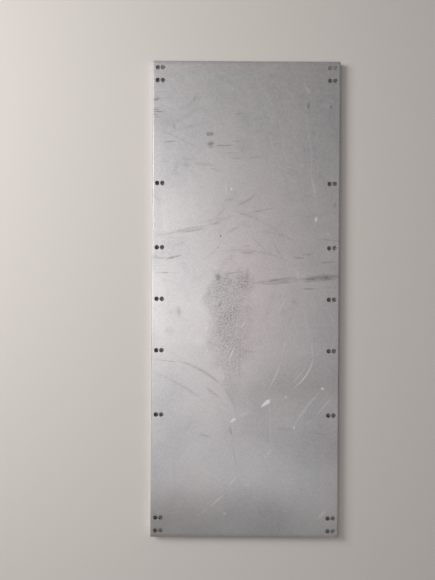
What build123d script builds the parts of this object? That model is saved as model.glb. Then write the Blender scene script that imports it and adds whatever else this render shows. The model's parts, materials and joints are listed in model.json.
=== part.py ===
"""Zinc-coated steel plate with its two long edges folded down and pairs of punched bolt holes.

Millimetres. The origin is on the ground under the middle of the plate. +Z points up out of
the face, +Y runs along the length and +X across the width.
"""
import os

from build123d import *

# Sheet
plate_length = 1850.0
plate_width = 730.0  # over the outsides of both folds
sheet_thickness = 2.5

# Long edges, folded down square, with both short ends left open
fold_height = 30.0  # ground to the top of the face
inside_bend_radius = 2.5

# Bolt holes, punched in pairs beside each long edge
hole_diameter = 17.0
rim_chamfer = 0.6  # broken edge that the punch leaves on the face side
pair_land = 3.0  # sheet left between the two holes of a pair
edge_margin = 20.0  # long edge to the centre of the outer hole

# Rows of pairs: two near each end, and five about the middle
end_margin = 25.0  # short end to the first row
end_row_gap = 50.0  # first row to the second
inner_row_offset = 200.0  # middle row to the next row on each side
outer_row_offset = 450.0  # middle row to the row after that

hole_radius = hole_diameter / 2
outside_bend_radius = inside_bend_radius + sheet_thickness
half_width = plate_width / 2


def row_positions():
    """Distances along the plate of the nine rows of pairs, from one end to the other."""
    first_row = plate_length / 2 - end_margin
    one_half = [first_row, first_row - end_row_gap, outer_row_offset, inner_row_offset]
    return one_half + [0.0] + [-y for y in reversed(one_half)]


def hole_columns():
    """Distances across the plate of the four columns of holes: outer and inner, both sides."""
    outer = half_width - edge_margin
    inner = outer - hole_diameter - pair_land
    return [-outer, -inner, inner, outer]


def folded_sheet():
    """One sheet bent along both long edges: its section, carried along the whole length."""
    with BuildPart() as sheet:
        with BuildSketch(Plane.XZ):
            with BuildLine():
                outside = FilletPolyline(
                    (-half_width, 0),
                    (-half_width, fold_height),
                    (half_width, fold_height),
                    (half_width, 0),
                    radius=outside_bend_radius,
                )
                offset(outside, amount=sheet_thickness, side=Side.RIGHT)
            make_face()
        extrude(amount=plate_length / 2, both=True)
    return sheet.part


def steel_plate():
    """The folded sheet with its holes punched and their rims broken on the face side."""
    with BuildPart() as plate:
        add(folded_sheet())
        centres = [(x, y) for y in row_positions() for x in hole_columns()]
        with Locations(Plane.XY.offset(fold_height)):
            with Locations(*centres):
                Hole(hole_radius, depth=2 * sheet_thickness)
        rims = plate.edges().filter_by(GeomType.CIRCLE).group_by(Axis.Z)[-1]
        chamfer(rims, rim_chamfer)
    return plate.part


os.makedirs("parts", exist_ok=True)
export_step(steel_plate(), "parts/steel_plate.step")
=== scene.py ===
"""Finish of a galvanised steel plate with two folded edges and punched bolt holes.

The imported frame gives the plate's box and its hole patterns. The sheet is worked out again as
one closed surface with round bends, broken hole rims and the slight waviness of real sheet, and
is coated with hot-dip zinc that carries the plate's scratches, scuffs and stains. Lengths are in
metres, except where a name or a comment says millimetres.
"""

import json
import math

import bmesh
import bpy
import numpy as np
from bpy.props import FloatProperty, FloatVectorProperty, IntProperty, PointerProperty
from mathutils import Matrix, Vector


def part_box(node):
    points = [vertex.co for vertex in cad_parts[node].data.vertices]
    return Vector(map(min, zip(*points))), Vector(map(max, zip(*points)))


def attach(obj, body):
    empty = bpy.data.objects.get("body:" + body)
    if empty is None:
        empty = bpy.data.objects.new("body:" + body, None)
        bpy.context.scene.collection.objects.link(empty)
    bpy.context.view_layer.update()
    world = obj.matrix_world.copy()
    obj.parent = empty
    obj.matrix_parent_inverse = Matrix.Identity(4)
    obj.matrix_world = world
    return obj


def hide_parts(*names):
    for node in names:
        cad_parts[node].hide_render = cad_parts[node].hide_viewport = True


bl_info = {
    "name": "Galvanised steel plate",
    "version": (1, 0, 0),
    "blender": (4, 5, 0),
    "location": "3D View > Sidebar > Steel plate",
    "description": "Builds a folded, punched and galvanised steel plate and a stage for it",
    "category": "Object",
}

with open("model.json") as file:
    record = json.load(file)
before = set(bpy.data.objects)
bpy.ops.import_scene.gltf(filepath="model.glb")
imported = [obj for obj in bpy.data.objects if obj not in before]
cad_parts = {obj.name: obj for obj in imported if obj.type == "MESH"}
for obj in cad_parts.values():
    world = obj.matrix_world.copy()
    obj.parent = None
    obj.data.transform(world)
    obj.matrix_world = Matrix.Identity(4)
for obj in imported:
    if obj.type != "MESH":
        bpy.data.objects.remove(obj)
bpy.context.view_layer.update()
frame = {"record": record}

MM = 0.001
NODE = "steel_plate"
PATTERNS = {
    mount["name"]: mount["dims"]
    for mount in frame["record"]["mounts"]
    if mount["kind"] == "bolt_pattern"
}
HALF_WIDTH, HALF_LENGTH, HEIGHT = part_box(NODE)[1]
OUTER_COLUMN = PATTERNS["holes_end"]["spacing_x_mm"] / 2 * MM
HOLE_RADIUS = PATTERNS["holes_end"]["hole_r_mm"] * MM
END_ROW, OUTER_ROW, INNER_ROW = (
    PATTERNS[name]["spacing_y_mm"] / 2 * MM for name in ("holes_end", "holes_outer", "holes_inner")
)

# The soft lamps: name, degrees above the floor, degrees on from the left towards the upper end, and
# colour. The key lamp stands where it throws the shadow that the photograph shows
LAMPS = (
    ("key", 36, 22, "FCFDFF"), ("high", 70, 0, "FFFFFF"), ("foot", 70, -90, "F4F9FF"),
)
# The picture: millimetres of film and pixels along its longer side, and the place of its middle on
# the plate, in pixels to the right of the plate's middle and up from it
FILM = 36.0
LONGER_SIDE = 580
AIM = (-28.0, 9.1)

# Marks on the face: x1, y1, x2, y2, width, strength, and how far the middle of a bent one bows to
# the left of its way. Millimetres from the middle of the face, +y towards the end that is
# uppermost in the photograph. A strength over 1 gives a mark with a flat top
RUBS = (
    # Beside the upper end, from the left edge to the right
    (-365, 772, -336, 779, 7, 1.0), (-336, 779, -298, 781, 4, 0.5), (-365, 727, -318, 728, 5, 1.1),
    (-365, 735, -338, 735, 4, 0.8), (-365, 741, -331, 743, 4, 0.6), (-365, 716, -341, 716, 4, 0.75),
    (-362, 707, -331, 707, 4, 0.5), (-200, 788, -204, 770, 4, 0.9), (-42, 787, -42, 779, 3, 0.5),
    (15, 786, 15, 778, 3, 0.4), (-21, 784, -9, 784, 3, 0.3), (245, 775, 242, 752, 4, 0.7),
    (-240, 782, -240, 780, 4, 0.3), (-46, 719, -8, 723, 4, 0.5), (-80, 700, -70, 700, 4, 0.35),
    (4, 692, 6, 670, 6, 0.3),
    # Long thin bends and short strokes of the upper third
    (-365, 658, -182, 575, 4, 0.35, 13), (-322, 608, -273, 614, 5, 0.8),
    (-336, 531, -293, 535, 3, 0.4), (-122, 595, -56, 599, 5, 0.9), (-66, 612, 4, 617, 3, 0.45),
    (-85, 567, -32, 570, 3, 0.4), (-58, 548, -10, 547, 3, 0.5), (12, 550, 62, 553, 4, 0.55),
    (-206, 528, -124, 520, 10, 0.4), (-135, 507, -93, 497, 8, 0.35),
    (-238, 541, -222, 541, 14, 0.3), (-293, 478, -259, 541, 8, 0.25),
    (-42, 368, 36, 418, 6, 0.55, -13), (224, 400, 253, 402, 8, 0.3), (348, 381, 348, 361, 4, 0.6),
    (348, 342, 350, 330, 4, 0.5), (-80, 384, -52, 388, 10, 0.3),
    # Faint wide ones that rise to the right under the upper end, and blots below them
    (-305, 646, -150, 690, 14, 0.22), (-270, 690, -165, 752, 14, 0.2),
    (-236, 736, -190, 790, 12, 0.18), (-285, 692, -276, 648, 9, 0.3),
    (-176, 738, -150, 728, 8, 0.35), (-250, 522, -216, 522, 14, 0.3),
    (-245, 562, -290, 486, 5, 0.2, 8), (-248, 545, -230, 545, 10, 0.3),
    # Lines that rise to the right over the left half, and what they run into
    (-365, 240, -143, 289, 5, 0.4), (-143, 289, -46, 325, 4, 0.45), (2, 332, 103, 354, 6, 0.5),
    (-292, 257, -150, 280, 3, 0.6), (-280, 265, -160, 286, 4, 0.5), (-268, 256, -158, 273, 5, 0.75),
    (-42, 342, 45, 313, 9, 0.45), (45, 313, 190, 223, 10, 0.2), (-22, 181, 33, 180, 9, 0.55),
    (-157, 157, 176, 126, 6, 0.28, 48), (21, 245, 81, 187, 5, 0.28),
    (98, 255, 187, 223, 5, 0.33, 8), (-122, 308, -76, 362, 7, 0.3), (-75, 257, -30, 281, 8, 0.35),
    (60, 262, 112, 262, 13, 0.25), (103, 240, 158, 150, 5, 0.3, -8), (-22, 204, 22, 210, 4, 0.35),
    (-162, 150, -108, 202, 6, 0.2), (-135, 290, -98, 297, 5, 0.55), (-200, 291, -60, 325, 3, 0.35),
    (180, 330, 250, 322, 4, 0.25), (-330, 240, -210, 236, 3, 0.25), (-310, 190, -200, 240, 6, 0.2),
    (-18, -110, -22, -330, 4, 0.35), (-30, -100, -22, -130, 4, 0.35), (-35, -196, 60, -206, 4, 0.2),
    (-365, 160, -309, 159, 5, 0.6), (-307, 156, -254, 169, 7, 1.0), (-365, 165, -341, 169, 4, 0.5),
    (-365, 103, -276, 102, 3, 0.4), (-331, 102, -299, 102, 4, 0.8), (-326, 76, -293, 69, 3, 0.4),
    # The dark band at the right and the lines beside it
    (226, 80, 372, 90, 20, 1.15), (232, 77, 300, 82, 16, 0.95), (224, 70, 272, 75, 10, 0.5),
    (26, 62, 200, 87, 9, 0.75), (50, 57, 197, 68, 6, 0.6), (26, 63, 89, 72, 9, 0.5),
    (100, 66, 215, 78, 15, 0.45), (214, 41, 280, 42, 4, 0.7), (301, 45, 365, 48, 4, 0.3),
    (295, 235, 365, 227, 4, 0.7), (285, 143, 351, 148, 6, 0.65), (219, 175, 260, 176, 5, 0.6),
    (190, 160, 226, 162, 5, 0.6), (171, 164, 214, 167, 3, 0.35),
    # Wide arcs and short strokes of the lower third
    (-365, -234, -259, -246, 3, 0.55), (-259, -246, -85, -348, 9, 0.5, 18),
    (-85, -348, -37, -435, 10, 0.3, 10), (-346, -294, -148, -408, 9, 0.3, 12),
    (-153, -348, -98, -389, 9, 0.42, 5), (-179, -523, -133, -537, 8, 0.4),
    (-58, -496, -51, -527, 7, 0.6), (-48, -562, -27, -668, 3, 0.4),
    (116, -500, 192, -508, 12, 0.25), (253, -513, 321, -528, 6, 0.3),
    (211, -733, 229, -744, 4, 0.35),
)
STAINS = (
    # Two smudges under each other, of two short strokes each, and a fainter one below them
    (-151, 641, -144, 641, 12, 2.2), (-139, 642, -132, 642, 12, 2.2),
    (-147, 603, -140, 603, 11, 2.0), (-138, 605, -131, 605, 12, 2.0),
    (-147, 591, -128, 592, 7, 0.8),
    # Drops beside the upper end
    (240, 761, 241, 742, 10, 1.5), (328, 755, 328, 743, 9, 1.5),
    # Blots over and beside the mottled patch
    (-107, 94, -107, 78, 16, 1.1), (-107, 203, -107, 197, 7, 0.5), (-85, 97, -20, 106, 3, 0.8),
    (-104, -32, -93, -6, 10, 0.8), (8, 126, 6, 70, 14, 0.4), (-143, 46, -141, -8, 22, 0.35),
    (-261, -32, -257, -61, 15, 0.45), (-305, -124, -281, -124, 28, 0.25),
    (345, -270, 345, -385, 44, 0.3),
    # Two wide faint ones, under the arcs and beside the upper left edge
    (20, -355, 330, -335, 180, 0.4), (-340, 690, -290, 690, 90, 0.3),
)
RUST = ((-98, 247, -98, 243, 5, 1.0),)
SCRATCHES = (
    # The bright arc at the lower right, with the lines above and beside it
    (261, -222, 181, -343, 2, 1.7, 20), (236, -256, 174, -330, 3, 0.5, 6),
    (258, -173, 263, -222, 3, 0.6), (212, 21, 258, -173, 4, 0.25), (171, 19, 123, -68, 4, 0.3, -5),
    (161, -149, 137, -236, 4, 0.3), (137, -236, 84, -356, 3, 0.7, 8),
    (294, -360, 192, -496, 8, 0.42, -8), (345, -372, 267, -460, 4, 0.55),
    (99, -416, 100, -571, 4, 0.3), (300, -190, 262, -230, 3, 0.3), (193, -150, 186, -190, 4, 0.3),
    (97, -416, 96, -442, 4, 0.4), (-82, -285, -88, -320, 6, 0.3), (267, -460, 228, -492, 5, 0.25),
    # Faint bends down the upper right
    (123, 842, 224, 706, 8, 0.12, 12), (224, 706, 250, 497, 8, 0.12, 12),
    (250, 497, 274, 381, 5, 0.28), (222, 839, 248, 799, 5, 0.25), (203, 109, 203, 82, 12, 0.35),
    (166, 463, 190, 460, 5, 0.22),
    # Short ones over the left half and the foot
    (-80, 449, -75, 408, 4, 0.6), (-220, 493, -212, 439, 4, 0.25), (-27, -56, -35, -134, 3, 0.35),
    (5, -81, -25, -120, 4, 0.4), (-42, -183, -64, -246, 4, 0.75), (-145, -192, -156, -212, 5, 0.45),
    (-32, -460, 21, -435, 5, 0.3), (-37, -696, -63, -727, 7, 0.55), (-77, -758, -133, -806, 5, 0.5),
    (-133, -806, -177, -841, 4, 0.35), (2, -727, 21, -712, 8, 0.35),
    (284, -853, 316, -819, 8, 0.45), (-290, -585, -284, -745, 14, 0.12),
    (-37, -697, -35, -694, 7, 0.4),
)
CHIPS = (
    # A leaf-shaped one, broad at its upper right, and one that trails off to the right
    (66, -416, 96, -391, 8, 2.6), (84, -402, 92, -395, 13, 2.2), (-55, -477, -37, -464, 9, 1.3),
    (-57, 434, -57, 422, 6, 0.9), (272, 319, 272, 304, 7, 0.9), (319, 255, 323, 255, 7, 0.4),
    (297, -346, 305, -346, 9, 0.9), (192, -502, 192, -492, 8, 0.8), (156, -380, 162, -380, 9, 0.6),
    (96, -588, 100, -588, 6, 0.9), (89, -599, 93, -599, 6, 0.9), (76, -610, 80, -610, 6, 0.6),
    (-155, -113, -147, -113, 11, 0.5), (-81, -834, -73, -834, 9, 0.35),
    (157, -821, 161, -821, 6, 0.3), (300, 755, 322, 755, 20, 0.1),
    (-194, -163, -160, -163, 34, 0.25), (-322, 439, -312, 216, 26, 0.16),
)
# Soft oval zones: middle, half length across and along, strength. A patch that damp has mottled,
# fainter towards its lower end, then a faint warm film of old grease, then paler zones, the
# second of which is a painted highlight left of the face's middle
MOTTLED = (
    (-100, 78, 44, 64, 0.8), (-18, 78, 46, 64, 0.65), (-60, 10, 88, 84, 0.8),
    (-66, -80, 96, 88, 0.85), (-64, -165, 86, 92, 0.85), (-60, -255, 66, 92, 0.8),
    (-50, -340, 44, 80, 0.65),
)
FILMED = ((30, 20, 300, 520, 0.85), (-70, -210, 120, 170, 0.35), (-190, -740, 150, 110, 0.5))
PALE_AND_HIGHLIGHT = (
    # The second zone, left of the middle, is a painted highlight where the key lamp's glow falls
    (20, -680, 390, 120, 0.32), (-330, 20, 110, 170, 0.16), (310, -780, 140, 130, 0.25),
    (-185, -20, 90, 330, 0.17),
)


def linear(colour):
    """A six-digit sRGB hex colour as linear red, green, blue and full alpha."""
    parts = [int(colour[i:i + 2], 16) / 255 for i in (0, 2, 4)]
    return [p / 12.92 if p <= 0.04045 else ((p + 0.055) / 1.055) ** 2.4 for p in parts] + [1.0]


def add(tree, kind, links=None, **settings):
    """Adds a node: links maps an input's name or number to a socket or to a value."""
    made = tree.nodes.new(kind)
    for name, value in settings.items():
        setattr(made, name, value)
    for key, source in (links or {}).items():
        if isinstance(source, bpy.types.NodeSocket):
            tree.links.new(source, made.inputs[key])
        else:
            made.inputs[key].default_value = source
    return made


class SheetSettings(bpy.types.PropertyGroup):
    """Sizes of the sheet that the frame doesn't give"""
    thickness: FloatProperty(
        name="Sheet thickness", description="Thickness of the steel with its zinc",
        default=2.5 * MM, subtype="DISTANCE", unit="LENGTH",
    )
    outside_bend: FloatProperty(
        name="Outside bend radius", description="Radius of the bends, on the outside",
        default=5.0 * MM, subtype="DISTANCE", unit="LENGTH",
    )
    pair_pitch: FloatProperty(
        name="Pair pitch", description="Across the plate, between the two holes of a pair",
        default=20.0 * MM, subtype="DISTANCE", unit="LENGTH",
    )
    end_row_gap: FloatProperty(
        name="End row gap", description="Between the two rows of holes at each end",
        default=50.0 * MM, subtype="DISTANCE", unit="LENGTH",
    )
    rim: FloatProperty(
        name="Hole rim", description="Rounding that the punch draws into the face round a hole",
        default=0.6 * MM, subtype="DISTANCE", unit="LENGTH",
    )
    cut_edge: FloatProperty(
        name="Cut edge", description="Rounding of the sheared edges",
        default=0.25 * MM, subtype="DISTANCE", unit="LENGTH",
    )
    wave: FloatProperty(
        name="Waviness", description="How far the face sinks between its folds at the most",
        default=0.9 * MM, subtype="DISTANCE", unit="LENGTH",
    )
    spacing: FloatProperty(
        name="Point spacing", description="Between the points of the face, away from the holes",
        default=12.0 * MM, subtype="DISTANCE", unit="LENGTH",
    )
    side_steps: IntProperty(
        name="Steps beside a hole", description="Stretches on each side of the square round a hole",
        default=8, min=2,
    )


class FinishSettings(bpy.types.PropertyGroup):
    """Colours and strengths of the zinc coat, of what has marked it, and of its painted shade"""
    zinc: FloatVectorProperty(
        name="Zinc", description="Colour that the zinc coat reflects", size=4, subtype="COLOR",
        default=linear("D0CBCB"), min=0, max=1,
    )
    dull_zinc: FloatVectorProperty(
        name="Dull zinc", description="Colour of the zinc where it has weathered", size=4,
        subtype="COLOR", default=linear("C1BEC0"), min=0, max=1,
    )
    film: FloatVectorProperty(
        name="Film", description="Colour of the zinc under its faint warm film", size=4,
        subtype="COLOR", default=linear("D4C6C6"), min=0, max=1,
    )
    damp: FloatVectorProperty(
        name="Damp flecks", description="Colour of the small flecks that damp has left in the zinc",
        size=4, subtype="COLOR", default=linear("72757A"), min=0, max=1,
    )
    # This colour is also what the painted shade at the lower end darkens the zinc towards
    soil_and_shade: FloatVectorProperty(
        name="Soil", description="Colour of the rubbed-on dirt", size=4, subtype="COLOR",
        default=linear("605952"), min=0, max=1,
    )
    rust: FloatVectorProperty(
        name="Rust", description="Colour of the small rust spot", size=4, subtype="COLOR",
        default=linear("7A5138"), min=0, max=1,
    )
    # This colour is also what the painted highlight left of the middle lifts the zinc towards
    scratch_and_highlight: FloatVectorProperty(
        name="Scratched zinc", description="Colour of fresh scratches and of chalky chips", size=4,
        subtype="COLOR", default=linear("F8F7F6"), min=0, max=1,
    )
    cut_steel: FloatVectorProperty(
        name="Cut steel", description="Colour of the bare steel on sheared and punched edges",
        size=4, subtype="COLOR", default=linear("9A948F"), min=0, max=1,
    )
    roughness: FloatProperty(
        name="Roughness", description="Roughness of the clean zinc", default=0.47, min=0, max=1,
    )
    crystal: FloatProperty(
        name="Crystal size", description="Width of a crystal of the zinc, in millimetres",
        default=9.0, min=1,
    )
    soiling: FloatProperty(
        name="Soiling", description="How dark the rubs and stains are", default=1.0, min=0,
    )
    scratching: FloatProperty(
        name="Scratching", description="How bright the scratches and chips are", default=0.8, min=0,
    )
    # Strength of the painted shade that darkens the face towards its lower end, most at the left
    foot: FloatProperty(
        name="Soiled foot", description="How dark the dirt is at the end that the plate stood on",
        default=0.44, min=0,
    )
    crazing: FloatProperty(
        name="Crazing", description="How dark the crazed zinc on the bends is", default=0.25, min=0,
    )


class StageSettings(bpy.types.PropertyGroup):
    """Floor, light and camera"""
    floor_colour: FloatVectorProperty(
        name="Floor", description="Colour of the floor", size=4, subtype="COLOR",
        default=linear("DAD3CD"), min=0, max=1,
    )
    backdrop_colour: FloatVectorProperty(
        name="Backdrop", description="Colour of all beyond the floor, and of the floor far away",
        size=4, subtype="COLOR", default=linear("EAE7E4"), min=0, max=1,
    )
    floor_reach: FloatProperty(
        name="Floor reach", description="From the middle of the floor to each of its sides",
        default=15.0, subtype="DISTANCE", unit="LENGTH",
    )
    near: FloatProperty(
        name="Near floor", description="How far from the middle the lit floor starts to fade",
        default=1.6, subtype="DISTANCE", unit="LENGTH",
    )
    far: FloatProperty(
        name="Far floor", description="How far from the middle it has faded to the backdrop",
        default=3.2, subtype="DISTANCE", unit="LENGTH",
    )
    fill: FloatProperty(
        name="Fill", description="Strength of the even light from above", default=0.265,
    )
    horizon: FloatProperty(
        name="Horizon", description="Strength of the pale horizon in the metal", default=0.8,
    )
    key_power: FloatProperty(
        name="Key light", description="Power of the soft lamp at the upper left", default=108.0,
        subtype="POWER", unit="POWER",
    )
    high_power: FloatProperty(
        name="High light", description="Power of the soft lamp high up at the left", default=26.0,
        subtype="POWER", unit="POWER",
    )
    foot_power: FloatProperty(
        name="Foot light", description="Power of the soft lamp beyond the lower end", default=8.5,
        subtype="POWER", unit="POWER",
    )
    lamp_size: FloatProperty(
        name="Lamp size", description="Side of each soft lamp", default=1.8,
        subtype="DISTANCE", unit="LENGTH",
    )
    lamp_distance: FloatProperty(
        name="Lamp distance", description="From the middle of the plate to each lamp",
        default=4.0, subtype="DISTANCE", unit="LENGTH",
    )
    lens: FloatProperty(
        name="Lens", description="Focal length in millimetres on a 36 mm wide film", default=35.0,
    )
    pixel: FloatProperty(
        name="Pixel", description="Length on the plate's face that one pixel of the frame covers",
        default=3.885 * MM, precision=6, subtype="DISTANCE", unit="LENGTH",
    )
    roll: FloatProperty(
        name="Roll", description="Turn of the camera about its own line of sight",
        default=math.radians(0.33), subtype="ANGLE", unit="ROTATION",
    )


def hole_centres(sheet):
    """Across and along position of every hole: four columns by nine rows, as one array."""
    columns = np.array([OUTER_COLUMN, OUTER_COLUMN - sheet.pair_pitch])
    rows = np.array([END_ROW, END_ROW - sheet.end_row_gap, OUTER_ROW, INNER_ROW])
    across, along = np.meshgrid(
        np.concatenate([-columns, columns]), np.concatenate([-rows, [0.0], rows])
    )
    return np.stack([across.ravel(), along.ravel()], -1)


def divided(stops, steps):
    """Rising points that divide each stretch between two stops into its number of steps."""
    pieces = [
        np.linspace(a, b, n, endpoint=False) for a, b, n in zip(stops, stops[1:], steps)
    ]
    return np.concatenate([*pieces, [stops[-1]]])


def bend_length(sheet):
    """Length of the bend's quarter circle on the outside surface."""
    return sheet.outside_bend * math.pi / 2


def half_developed(sheet):
    """Half the width of the flat blank, measured over the outside of the folded sheet."""
    return HALF_WIDTH - sheet.outside_bend + bend_length(sheet) + HEIGHT - sheet.outside_bend


def on_sheet(sheet, u, y, depth):
    """Where a point of the sheet is, from its place u across the flat blank, its place y along it
    and its depth under the outside surface. Up to the bend u is x. On the bend the point turns by
    (|u| - flat) / R on the radius R - depth, up to a right angle, and past it, it runs straight
    down. Between the bends it then sinks by the waviness, times a share that rises smoothly from
    0 at a bend to 1 in the middle, times a sum of slow cosines that stays between 0 and 1, so the
    face is never higher than its frame."""
    bend = sheet.outside_bend
    flat = HALF_WIDTH - bend
    turn = np.clip((np.abs(u) - flat) / bend, 0, math.pi / 2)
    down = np.maximum(np.abs(u) - flat - bend_length(sheet), 0)
    x = np.sign(u) * (np.minimum(np.abs(u), flat) + (bend - depth) * np.sin(turn))
    z = HEIGHT - bend + (bend - depth) * np.cos(turn) - down
    across = np.clip((flat - np.abs(u)) / flat, 0, 1)
    calm = across ** 2 * (3 - 2 * across)
    swell = 0.5 + 0.3 * np.cos(7.1 * y + 2.3 * u + 0.8) + 0.2 * np.cos(12.7 * y - 9.0 * u + 2.1)
    z = z - sheet.wave * calm * swell
    return np.stack(np.broadcast_arrays(x, y, z), -1)


def grid_faces(rows, columns, closed=False):
    """The quads of a grid of points, with its last column joined to its first if it is closed."""
    row, column = np.meshgrid(
        np.arange(rows - 1), np.arange(columns if closed else columns - 1), indexing="ij"
    )
    beside = (column + 1) % columns
    corners = (
        row * columns + column, row * columns + beside,
        (row + 1) * columns + beside, (row + 1) * columns + column,
    )
    return np.stack(corners, -1).reshape(-1, 4)


def edge_profile(thickness, near, far, steps=3):
    """How a cut edge runs from the outside surface to the inside one: pairs of reach and depth on
    a quarter circle of radius near, a straight wall, and a quarter circle of radius far."""
    angle = np.linspace(0, math.pi / 2, steps + 1)
    reach = np.concatenate([near * np.sin(angle), near - far + far * np.cos(angle)])
    depth = np.concatenate(
        [near * (1 - np.cos(angle)), thickness - far + far * np.sin(angle)]
    )
    return reach, depth


def face_grids(sheet, centres):
    """The outside and inside surface as grids over u and y. The square round each hole is left
    open, and the lines that bound the squares run right across."""
    cell = sheet.pair_pitch / 2
    steps = sheet.side_steps
    flat = HALF_WIDTH - sheet.outside_bend
    hole_edges = [OUTER_COLUMN + cell, OUTER_COLUMN - cell, OUTER_COLUMN - 3 * cell]
    # From the cut edge in: up the fold, round the bend, beside it, on to the holes, past each one
    half_stops = [
        half_developed(sheet) - sheet.cut_edge, flat + bend_length(sheet), flat,
        flat - sheet.outside_bend / 5, *hole_edges,
    ]
    half_steps = [4, 8, 1, 1, steps, steps]
    middle = round(2 * hole_edges[-1] / sheet.spacing)
    u = divided(
        [-s for s in half_stops] + half_stops[::-1], half_steps + [middle] + half_steps[::-1]
    )
    stops = [-HALF_LENGTH + sheet.cut_edge]
    counts = []
    for row in np.unique(centres[:, 1]):
        counts += [max(1, round((row - cell - stops[-1]) / sheet.spacing)), steps]
        stops += [row - cell, row + cell]
    counts.append(max(1, round((HALF_LENGTH - stops[-1]) / sheet.spacing)))
    stops.append(HALF_LENGTH - sheet.cut_edge)
    y = divided(stops, counts)
    grid_y, grid_u = np.meshgrid(y, u, indexing="ij")
    faces = grid_faces(len(y), len(u))
    middle_u = grid_u.ravel()[faces].mean(1)
    middle_y = grid_y.ravel()[faces].mean(1)
    in_cell = (np.abs(middle_u[:, None] - centres[:, 0]) < cell) & (
        np.abs(middle_y[:, None] - centres[:, 1]) < cell
    )
    faces = faces[~in_cell.any(1)]
    surfaces = [
        (on_sheet(sheet, grid_u, grid_y, depth).reshape(-1, 3), faces, np.zeros(grid_u.size))
        for depth in (0.0, sheet.thickness)
    ]
    return surfaces, u, y


def hole_walls(sheet, centres):
    """All the holes at once: each is a grid of rings by points round, which starts on the square
    round the hole in the face, closes in to the circle, runs down the wall along the profile of a
    punched edge and opens out to the square again on the inside."""
    steps = sheet.side_steps
    cell = sheet.pair_pitch / 2
    run = np.linspace(-1, 1, steps, endpoint=False)
    one = np.ones(steps)
    square = cell * np.concatenate([
        np.stack([run, -one], -1), np.stack([one, run], -1),
        np.stack([-run, one], -1), np.stack([-one, -run], -1),
    ])
    # Round from the corner that the square starts at
    angle = math.radians(-135) + np.arange(4 * steps) * 2 * math.pi / (4 * steps)
    circle = np.stack([np.cos(angle), np.sin(angle)], -1)
    reach, depth = edge_profile(sheet.thickness, sheet.rim, sheet.cut_edge)
    radius = HOLE_RADIUS + sheet.rim - reach
    # Shares of the way from the square to the circle
    closing = np.array([0.0, 0.35, 0.7])
    outside = [(1 - k) * square + k * radius[0] * circle for k in closing]
    wall = [r * circle for r in radius]
    inside = [(1 - k) * square + k * radius[-1] * circle for k in closing[::-1]]
    rings = np.array(outside + wall + inside)
    depths = np.concatenate([closing * 0, depth, closing * 0 + sheet.thickness])
    cut = np.concatenate([closing * 0, (reach > 0.5 * sheet.rim) * 1.0, closing * 0])
    u = rings[None, ..., 0] + centres[:, 0, None, None]
    y = rings[None, ..., 1] + centres[:, 1, None, None]
    points = on_sheet(sheet, u, y, depths[None, :, None]).reshape(-1, 3)
    ring_faces = grid_faces(len(rings), 4 * steps, closed=True)
    starts = np.arange(len(centres)) * len(rings) * 4 * steps
    faces = (starts[:, None, None] + ring_faces).reshape(-1, 4)
    return points, faces, np.tile(np.repeat(cut, 4 * steps), len(centres))


def cut_edges(sheet, u, y):
    """The sheared edge all round the blank: the profile of a cut edge carried along the outline of
    the face grid, with its reach along both directions at the four corners."""
    outline = np.concatenate([
        np.stack([u[:-1], np.full(len(u) - 1, y[0])], -1),
        np.stack([np.full(len(y) - 1, u[-1]), y[:-1]], -1),
        np.stack([u[:0:-1], np.full(len(u) - 1, y[-1])], -1),
        np.stack([np.full(len(y) - 1, u[0]), y[:0:-1]], -1),
    ])
    outward = np.stack([
        (outline[:, 0] == u[-1]) * 1.0 - (outline[:, 0] == u[0]),
        (outline[:, 1] == y[-1]) * 1.0 - (outline[:, 1] == y[0]),
    ], -1)
    reach, depth = edge_profile(sheet.thickness, sheet.cut_edge, sheet.cut_edge)
    place = outline[None] + reach[:, None, None] * outward[None]
    points = on_sheet(sheet, place[..., 0], place[..., 1], depth[:, None]).reshape(-1, 3)
    faces = grid_faces(len(reach), len(outline), closed=True)
    cut = np.repeat((reach > 0.5 * sheet.cut_edge) * 1.0, len(outline))
    return points, faces, cut


def joined(name, surfaces):
    """One mesh from several surfaces: their arrays one after another, without the points that no
    face uses, welded where they meet and turned to face outwards. The point attribute cut is 1
    where the steel is cut."""
    starts = np.cumsum([0] + [len(points) for points, _, _ in surfaces[:-1]])
    points = np.concatenate([s[0] for s in surfaces])
    faces = np.concatenate([s[1] + start for s, start in zip(surfaces, starts)])
    cut = np.concatenate([s[2] for s in surfaces])
    used, faces = np.unique(faces, return_inverse=True)
    mesh = bpy.data.meshes.new(name)
    mesh.from_pydata(points[used], [], faces.reshape(-1, 4))
    mesh.attributes.new("cut", "FLOAT", "POINT").data.foreach_set(
        "value", cut[used].astype(np.float32)
    )
    work = bmesh.new()
    work.from_mesh(mesh)
    bmesh.ops.remove_doubles(work, verts=work.verts, dist=0.002 * MM)
    bmesh.ops.recalc_face_normals(work, faces=work.faces)
    work.to_mesh(mesh)
    work.free()
    mesh.polygons.foreach_set("use_smooth", [True] * len(mesh.polygons))
    mesh.set_sharp_from_angle(angle=math.radians(25))
    return mesh


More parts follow.
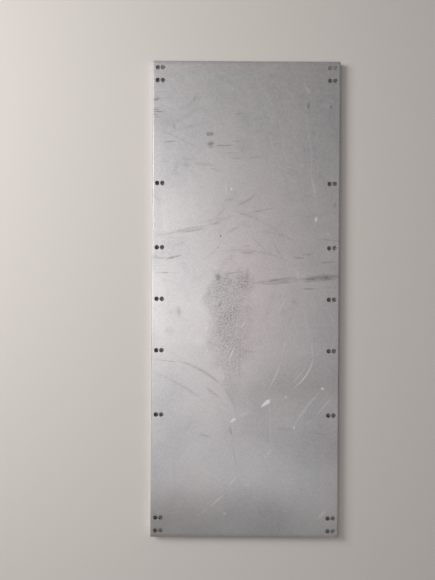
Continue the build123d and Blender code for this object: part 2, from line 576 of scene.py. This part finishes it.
def mark_group(bent):
    """Node group for one mark. U runs from -1 to 1 along the mark and V across it, each worked out
    as the plan (x, y, 1) times three numbers. The mark's value is strength (1 - |V| - U U), with
    V + bow U U in place of V where it is bent, and the group gives the greater of it and of the
    marks before it. No node in it clamps by its own setting or separates a vector: that would
    work out all the marks side by side, and the shader has no room for them."""
    group = bpy.data.node_groups.new("bent_mark" if bent else "straight_mark", "ShaderNodeTree")
    for name in ("Plan", "Along", "Across"):
        group.interface.new_socket(name, in_out="INPUT", socket_type="NodeSocketVector")
    for name in ("Bow", "Strength", "Before") if bent else ("Strength", "Before"):
        group.interface.new_socket(name, in_out="INPUT", socket_type="NodeSocketFloat")
    group.interface.new_socket("Marks", in_out="OUTPUT", socket_type="NodeSocketFloat")
    given = add(group, "NodeGroupInput").outputs
    u, v = (
        add(
            group, "ShaderNodeVectorMath", {0: given["Plan"], 1: given[way]},
            operation="DOT_PRODUCT",
        ).outputs["Value"]
        for way in ("Along", "Across")
    )
    if bent:
        square = add(group, "ShaderNodeMath", {0: u, 1: u}, operation="MULTIPLY").outputs[0]
        v = add(
            group, "ShaderNodeMath", {0: square, 1: given["Bow"], 2: v}, operation="MULTIPLY_ADD"
        ).outputs[0]
    side = add(group, "ShaderNodeMath", {0: v}, operation="ABSOLUTE").outputs[0]
    far = add(group, "ShaderNodeMath", {0: u, 1: u, 2: side}, operation="MULTIPLY_ADD").outputs[0]
    near = add(group, "ShaderNodeMath", {0: 1.0, 1: far}, operation="SUBTRACT").outputs[0]
    value = add(
        group, "ShaderNodeMath", {0: near, 1: given["Strength"]}, operation="MULTIPLY"
    ).outputs[0]
    value = add(
        group, "ShaderNodeMath", {0: value, 1: given["Before"]}, operation="MAXIMUM"
    ).outputs[0]
    add(group, "NodeGroupOutput", {"Marks": value})
    return group


def marked(tree, groups, plan, marks):
    """All the marks of one list together, from 0 to 1. Each is made a little longer than its two
    points are apart and wider than it looks, because it fades towards its ends and sides."""
    total = 0.0
    for x1, y1, x2, y2, width, strength, *bend in marks:
        bow = sum(bend)
        turn = math.atan2(y2 - y1, x2 - x1)
        cos, sin = math.cos(turn), math.sin(turn)
        middle_x = (x1 + x2) / 2 - bow * sin
        middle_y = (y1 + y2) / 2 + bow * cos
        half_length = 0.6 * math.hypot(x2 - x1, y2 - y1) + 0.5 * width
        half_width = 0.8 * width + 1
        given = {"Plan": plan, "Strength": strength, "Before": total}
        for name, a, b, half in (
            ("Along", cos, sin, half_length), ("Across", -sin, cos, half_width)
        ):
            given[name] = (a / half, b / half, -(a * middle_x + b * middle_y) / half)
        if bow:
            given["Bow"] = bow / half_width
        total = add(tree, "ShaderNodeGroup", given, node_tree=groups[bow != 0]).outputs[0]
    return add(tree, "ShaderNodeClamp", {0: total}).outputs[0]


def zoned(tree, place, zones):
    """How far each point lies inside soft oval zones: the sum of strength (1 - distance from the
    middle, in shares of 1.3 half lengths) over the zones. A zone is a metre deep, so the depth of
    a point hardly counts."""
    total = 0.0
    for x, y, half_x, half_y, strength in zones:
        zone = add(tree, "ShaderNodeMapping", {
            "Vector": place, "Location": (x, y, HEIGHT / MM),
            "Scale": (1.3 * half_x, 1.3 * half_y, 1000),
        }, vector_type="TEXTURE").outputs[0]
        ball = add(tree, "ShaderNodeTexGradient", {0: zone}, gradient_type="SPHERICAL").outputs[1]
        total = add(
            tree, "ShaderNodeMath", {0: ball, 1: strength, 2: total}, operation="MULTIPLY_ADD"
        ).outputs[0]
    return total


def zinc_material(finish):
    """Hot-dip galvanised sheet steel. The eye sees a satin light grey that mirrors the lamps as a
    wide soft glow, with crystals of slightly different greys, slow clouds where the zinc has
    weathered, and the marks of handling: dark rubs, bright scratches, chalky chips."""
    material = bpy.data.materials.new("hot_dip_galvanised_steel")
    material.use_nodes = True
    tree = material.node_tree
    shader = tree.nodes["Principled BSDF"]
    coordinates = add(tree, "ShaderNodeTexCoord").outputs
    place = add(
        tree, "ShaderNodeVectorMath", {0: coordinates["Object"], "Scale": 1 / MM}, operation="SCALE"
    ).outputs[0]
    axes = add(tree, "ShaderNodeSeparateXYZ", {0: place}).outputs
    facing = add(tree, "ShaderNodeSeparateXYZ", {0: coordinates["Normal"]}).outputs[2]

    # Patterns that look the same every way, each by its real size in mm, with its detail and
    # roughness: clouds of weathering, grain of the coat, dapple of its shine, flecks of damp, the
    # clumps they stand in, and the frayed outline of the patch that they make
    noise = {}
    for name, size, detail, rough in (
        ("cloud", 230, 3, 0.5), ("grain", 5, 3, 0.5), ("dapple", 7, 2, 0.5),
        ("fleck", 6, 3, 0.75), ("clump", 22, 2, 0.5), ("frayed", 60, 2, 0.5),
    ):
        noise[name] = add(tree, "ShaderNodeTexNoise", {
            0: place, "Scale": 1 / size, "Detail": detail, "Roughness": rough,
        }).outputs[0]
    cell = add(tree, "ShaderNodeTexVoronoi", {0: place, "Scale": 1 / finish.crystal})
    crystal = add(tree, "ShaderNodeSeparateColor", {0: cell.outputs["Color"]}).outputs[0]

    # Strands 34 mm long and 5 mm wide, which rise a little to the right
    along = add(tree, "ShaderNodeMapping", {
        "Vector": place, "Rotation": (0, 0, math.radians(6)), "Scale": (34, 5, 5),
    }, vector_type="TEXTURE").outputs[0]
    strands = add(tree, "ShaderNodeTexNoise", {0: along, "Scale": 1.0, "Detail": 2.0}).outputs[0]

    # Handling has left a faint web of hairlines in four directions: their turn and length. A real
    # one is 0.2 mm wide, and is drawn 3 mm wide and as much fainter, so that it shows
    web = 0.0
    for number, (turn, length) in enumerate(((9, 150), (-24, 110), (58, 90), (-71, 120))):
        way = add(tree, "ShaderNodeMapping", {
            "Vector": place, "Location": (0, 0, 40 * number),
            "Rotation": (0, 0, math.radians(turn)), "Scale": (length, 3, 3),
        }, vector_type="TEXTURE").outputs[0]
        hair = add(tree, "ShaderNodeTexNoise", {0: way, "Scale": 1.0, "Detail": 1.0}).outputs[0]
        hair = add(tree, "ShaderNodeMapRange", {0: hair, 1: 0.6, 2: 0.75}).outputs[0]
        web = add(tree, "ShaderNodeMath", {0: hair, 1: web}, operation="MAXIMUM").outputs[0]

    # Shares worked out from one pattern each: its source, the two values of the source that it
    # runs between, and the share at each of them
    share = {}
    for name, source, start, stop, least, most in (
        ("on_face", facing, 0.1, 0.5, 0, 1),
        ("tilted", facing, 0.98, 0.85, 0, 1),
        ("upward", facing, 0.02, 0.2, 0, 1),
        ("lower", axes[1], -60, -340, 1, 0.5),
        ("leftward", axes[0], HALF_WIDTH / MM, -HALF_WIDTH / MM, 0.15, 1),
        ("broken", strands, 0.36, 0.62, 0.25, 0.8),
        ("smeared", strands, 0.3, 0.6, 0.5, 1),
        ("spotted", noise["grain"], 0.35, 0.65, 0.3, 0.65),
        ("paled", crystal, 0, 1, 0, 0.07),
        ("dulled", noise["cloud"], 0.35, 0.65, 0, 1),
        ("dappled", noise["dapple"], 0.3, 0.7, 0, 0.17),
        ("flecked", noise["fleck"], 0.57, 0.37, 0.08, 0.75),
        ("clumped", noise["clump"], 0.3, 0.6, 0.65, 1),
    ):
        share[name] = add(
            tree, "ShaderNodeMapRange", {0: source, 1: start, 2: stop, 3: least, 4: most}
        ).outputs[0]

    # Marks, broken up by the strands and the grain
    plan = add(tree, "ShaderNodeCombineXYZ", {0: axes[0], 1: axes[1], 2: 1.0}).outputs[0]
    groups = [mark_group(bent) for bent in (False, True)]
    rubs, stains, rust, scratches, chips = (
        marked(tree, groups, plan, marks) for marks in (RUBS, STAINS, RUST, SCRATCHES, CHIPS)
    )
    rubs, scratches = (
        add(tree, "ShaderNodeMath", {0: marks, 1: share[name]}, operation="MULTIPLY").outputs[0]
        for marks, name in ((rubs, "broken"), (scratches, "smeared"))
    )
    dark = add(
        tree, "ShaderNodeMath", {0: stains, 1: share["spotted"], 2: rubs}, operation="MULTIPLY_ADD"
    ).outputs[0]
    light = add(tree, "ShaderNodeMath", {0: scratches, 1: chips}, operation="MAXIMUM").outputs[0]
    light = add(
        tree, "ShaderNodeMath", {0: light, 1: finish.scratching}, operation="MULTIPLY"
    ).outputs[0]

    # Damp has mottled the coat with small flecks, in a patch with a frayed outline
    damp = zoned(tree, place, MOTTLED)
    damp = add(
        tree, "ShaderNodeMath", {0: noise["frayed"], 1: 1.6, 2: damp}, operation="MULTIPLY_ADD"
    ).outputs[0]
    damp = add(tree, "ShaderNodeMapRange", {0: damp, 1: 0.95, 2: 1.75}).outputs[0]
    for name in ("lower", "flecked", "clumped"):
        damp = add(
            tree, "ShaderNodeMath", {0: damp, 1: share[name]}, operation="MULTIPLY"
        ).outputs[0]
    film = add(tree, "ShaderNodeClamp", {0: zoned(tree, place, FILMED)}).outputs[0]

    # Painted shade: the face darkens smoothly towards its lower end, most of all at the left, and
    # this shade is added to the dark of the rubs and stains
    foot = add(tree, "ShaderNodeMapRange", {
        0: axes[1], 1: -690, 2: -HALF_LENGTH / MM, 4: finish.foot,
    }, interpolation_type="SMOOTHSTEP").outputs[0]
    foot = add(
        tree, "ShaderNodeMath", {0: foot, 1: share["leftward"]}, operation="MULTIPLY"
    ).outputs[0]
    dark = add(
        tree, "ShaderNodeMath", {0: dark, 1: finish.soiling, 2: foot}, operation="MULTIPLY_ADD",
        use_clamp=True,
    ).outputs[0]

    # All of these are on the face alone
    rust, dark, light, damp = (
        add(tree, "ShaderNodeMath", {0: mark, 1: share["on_face"]}, operation="MULTIPLY").outputs[0]
        for mark in (rust, dark, light, damp)
    )
    cut = add(tree, "ShaderNodeAttribute", attribute_name="cut").outputs["Fac"]

    # Bending crazed the coat, so it is duller and a little darker on the bends
    bent = add(
        tree, "ShaderNodeMath", {0: share["tilted"], 1: share["upward"]}, operation="MULTIPLY"
    ).outputs[0]
    crazed = add(
        tree, "ShaderNodeMath", {0: bent, 1: finish.crazing}, operation="MULTIPLY"
    ).outputs[0]

    # The hairlines and the paler zones lift the colour as the dapple does; one of the zones is a
    # painted highlight, left of the face's middle
    lifted = add(
        tree, "ShaderNodeMath", {0: web, 1: 0.16, 2: share["dappled"]}, operation="MULTIPLY_ADD"
    ).outputs[0]
    lifted = add(
        tree, "ShaderNodeMath", {0: lifted, 1: zoned(tree, place, PALE_AND_HIGHLIGHT)}, operation="ADD"
    ).outputs[0]
    colour = finish.zinc
    # Here dark carries the painted shade at the lower end besides the rubs and stains, and lifted
    # carries the painted highlight left of the middle
    for factor, tone in (
        (share["dulled"], finish.dull_zinc), (film, finish.film),
        (share["paled"], finish.scratch_and_highlight), (lifted, finish.scratch_and_highlight), (damp, finish.damp),
        (crazed, finish.soil_and_shade), (dark, finish.soil_and_shade), (rust, finish.rust),
        (light, finish.scratch_and_highlight), (cut, finish.cut_steel),
    ):
        colour = add(
            tree, "ShaderNodeMix", {0: factor, 6: colour, 7: tone}, data_type="RGBA"
        ).outputs[2]
    tree.links.new(colour, shader.inputs["Base Color"])

    # Dirt, the painted shade at the lower end and chalk hide the metal under them
    hidden = add(
        tree, "ShaderNodeMath", {0: dark, 1: 0.5, 2: light}, operation="MULTIPLY_ADD"
    ).outputs[0]
    metal = add(
        tree, "ShaderNodeMath", {0: 1.0, 1: hidden}, operation="SUBTRACT", use_clamp=True
    ).outputs[0]
    tree.links.new(metal, shader.inputs["Metallic"])
    rough = finish.roughness
    for source, more in (
        (crystal, 0.04), (share["dulled"], 0.03), (dark, 0.1), (light, 0.1), (bent, 0.3),
    ):
        rough = add(
            tree, "ShaderNodeMath", {0: source, 1: more, 2: rough}, operation="MULTIPLY_ADD"
        ).outputs[0]
    tree.links.new(rough, shader.inputs["Roughness"])

    # The crystals stand 20 micrometres proud of each other at the most, drawn as 60 to show
    relief = add(
        tree, "ShaderNodeMath", {0: noise["grain"], 1: 0.5, 2: crystal}, operation="MULTIPLY_ADD"
    ).outputs[0]
    bump = add(tree, "ShaderNodeBump", {"Height": relief, "Strength": 0.5, "Distance": 0.06 * MM})
    tree.links.new(bump.outputs[0], shader.inputs["Normal"])
    return material


def floor_material(stage):
    """Matt floor paint, rolled on. The eye sees an even pale ground with next to no sheen, which
    keeps the plate's shadow and, away from it, fades into the backdrop."""
    material = bpy.data.materials.new("matt_floor_paint")
    material.use_nodes = True
    tree = material.node_tree
    shader = tree.nodes["Principled BSDF"]
    shader.inputs["Base Color"].default_value = stage.floor_colour
    shader.inputs["Roughness"].default_value = 0.9
    shader.inputs["Specular IOR Level"].default_value = 0.1
    # Only the eye and the metal see it fade. The light that it throws back stays the paint's own
    place = add(tree, "ShaderNodeTexCoord").outputs["Object"]
    away = add(tree, "ShaderNodeVectorMath", {0: place}, operation="LENGTH").outputs["Value"]
    away = add(
        tree, "ShaderNodeMapRange", {0: away, 1: stage.near, 2: stage.far},
        interpolation_type="SMOOTHSTEP",
    ).outputs[0]
    rays = add(tree, "ShaderNodeLightPath").outputs
    seen = add(
        tree, "ShaderNodeMath", {0: rays["Is Camera Ray"], 1: rays["Is Glossy Ray"]},
        operation="MAXIMUM",
    ).outputs[0]
    away = add(tree, "ShaderNodeMath", {0: away, 1: seen}, operation="MULTIPLY").outputs[0]
    glow = add(tree, "ShaderNodeEmission", {"Color": stage.backdrop_colour}).outputs[0]
    mixed = add(
        tree, "ShaderNodeMixShader", {0: away, 1: shader.outputs[0], 2: glow}
    ).outputs[0]
    tree.links.new(mixed, tree.nodes["Material Output"].inputs["Surface"])
    return material


def studio_world(stage):
    """The even light of a studio. It fades towards the horizon and towards the lower end. The metal
    also mirrors a pale horizon, and the eye sees the backdrop."""
    world = bpy.data.worlds.new("studio")
    world.use_nodes = True
    tree = world.node_tree
    way = add(tree, "ShaderNodeTexCoord").outputs["Generated"]
    way = add(tree, "ShaderNodeSeparateXYZ", {0: way}).outputs
    above, beyond, low = (
        add(
            tree, "ShaderNodeMapRange", {0: way[axis], 1: start, 2: stop, 4: most},
            interpolation_type="SMOOTHSTEP",
        ).outputs[0]
        for axis, start, stop, most in (
            (2, -0.1, 0.6, 1.0), (1, -1.0, 0.0, 1.0), (2, 0.55, 0.15, stage.horizon)
        )
    )
    rays = add(tree, "ShaderNodeLightPath").outputs
    level = stage.fill
    for other in (above, beyond):
        level = add(tree, "ShaderNodeMath", {0: level, 1: other}, operation="MULTIPLY").outputs[0]
    low = add(
        tree, "ShaderNodeMath", {0: low, 1: rays["Is Glossy Ray"]}, operation="MULTIPLY"
    ).outputs[0]
    for other in (low, rays["Is Camera Ray"]):
        level = add(tree, "ShaderNodeMath", {0: level, 1: other}, operation="MAXIMUM").outputs[0]
    background = tree.nodes["Background"]
    background.inputs["Color"].default_value = stage.backdrop_colour
    tree.links.new(level, background.inputs["Strength"])
    return world


class PLATE_OT_sheet(bpy.types.Operator):
    """Builds the folded and punched sheet, with its zinc coat"""
    bl_idname = "plate.sheet"
    bl_label = "Build the sheet"

    def execute(self, context):
        sheet = context.scene.plate_sheet
        centres = hole_centres(sheet)
        surfaces, u, y = face_grids(sheet, centres)
        surfaces += [hole_walls(sheet, centres), cut_edges(sheet, u, y)]
        mesh = joined("galvanised_sheet", surfaces)
        piece = bpy.data.objects.new("galvanised_sheet", mesh)
        context.scene.collection.objects.link(piece)
        mesh.materials.append(zinc_material(context.scene.plate_finish))
        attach(piece, "root")
        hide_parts(NODE)
        return {"FINISHED"}


class PLATE_OT_stage(bpy.types.Operator):
    """Builds the floor, the light and the camera"""
    bl_idname = "plate.stage"
    bl_label = "Build the stage"

    def execute(self, context):
        scene = context.scene
        stage = scene.plate_stage
        reach = stage.floor_reach
        floor_mesh = bpy.data.meshes.new("floor")
        floor_mesh.from_pydata(
            [(-reach, -reach, 0), (reach, -reach, 0), (reach, reach, 0), (-reach, reach, 0)],
            [], [(0, 1, 2, 3)],
        )
        floor = bpy.data.objects.new("floor", floor_mesh)
        scene.collection.objects.link(floor)
        floor_mesh.materials.append(floor_material(stage))
        scene.world = studio_world(stage)

        for name, rise, turn, colour in LAMPS:
            light = bpy.data.lights.new(name, "AREA")
            light.shape = "SQUARE"
            light.size = stage.lamp_size
            light.energy = getattr(stage, name + "_power")
            light.color = linear(colour)[:3]
            lamp = bpy.data.objects.new(name, light)
            scene.collection.objects.link(lamp)
            rise, turn = math.radians(rise), math.radians(turn)
            towards = Vector((
                -math.cos(rise) * math.cos(turn), math.cos(rise) * math.sin(turn), math.sin(rise)
            ))
            lamp.location = towards * stage.lamp_distance
            lamp.rotation_mode = "QUATERNION"
            lamp.rotation_quaternion = (-towards).to_track_quat("-Z", "Y")

        camera_data = bpy.data.cameras.new("camera")
        camera_data.lens = stage.lens
        camera_data.sensor_width = FILM
        camera = bpy.data.objects.new("camera", camera_data)
        scene.collection.objects.link(camera)
        above = stage.lens / FILM * LONGER_SIDE * stage.pixel
        camera.location = (AIM[0] * stage.pixel, AIM[1] * stage.pixel, HEIGHT + above)
        camera.rotation_euler = (0, 0, stage.roll)
        scene.camera = camera
        scene.view_settings.view_transform = "Standard"
        return {"FINISHED"}


class VIEW3D_PT_plate(bpy.types.Panel):
    """Lists the settings, each group with what it builds"""
    bl_label = "Steel plate"
    bl_space_type = "VIEW_3D"
    bl_region_type = "UI"
    bl_category = "Steel plate"

    def draw(self, context):
        scene = context.scene
        for operator, groups in (
            ("plate.sheet", (scene.plate_sheet, scene.plate_finish)),
            ("plate.stage", (scene.plate_stage,)),
        ):
            for settings in groups:
                for name in type(settings).__annotations__:
                    self.layout.prop(settings, name)
            self.layout.operator(operator)


CLASSES = (
    SheetSettings, FinishSettings, StageSettings, PLATE_OT_sheet, PLATE_OT_stage, VIEW3D_PT_plate,
)


def register():
    for cls in CLASSES:
        bpy.utils.register_class(cls)
    bpy.types.Scene.plate_sheet = PointerProperty(type=SheetSettings)
    bpy.types.Scene.plate_finish = PointerProperty(type=FinishSettings)
    bpy.types.Scene.plate_stage = PointerProperty(type=StageSettings)


def unregister():
    del bpy.types.Scene.plate_stage
    del bpy.types.Scene.plate_finish
    del bpy.types.Scene.plate_sheet
    for cls in reversed(CLASSES):
        bpy.utils.unregister_class(cls)


def main():
    register()
    bpy.ops.plate.sheet()
    bpy.ops.plate.stage()


if __name__ == "__main__":
    main()
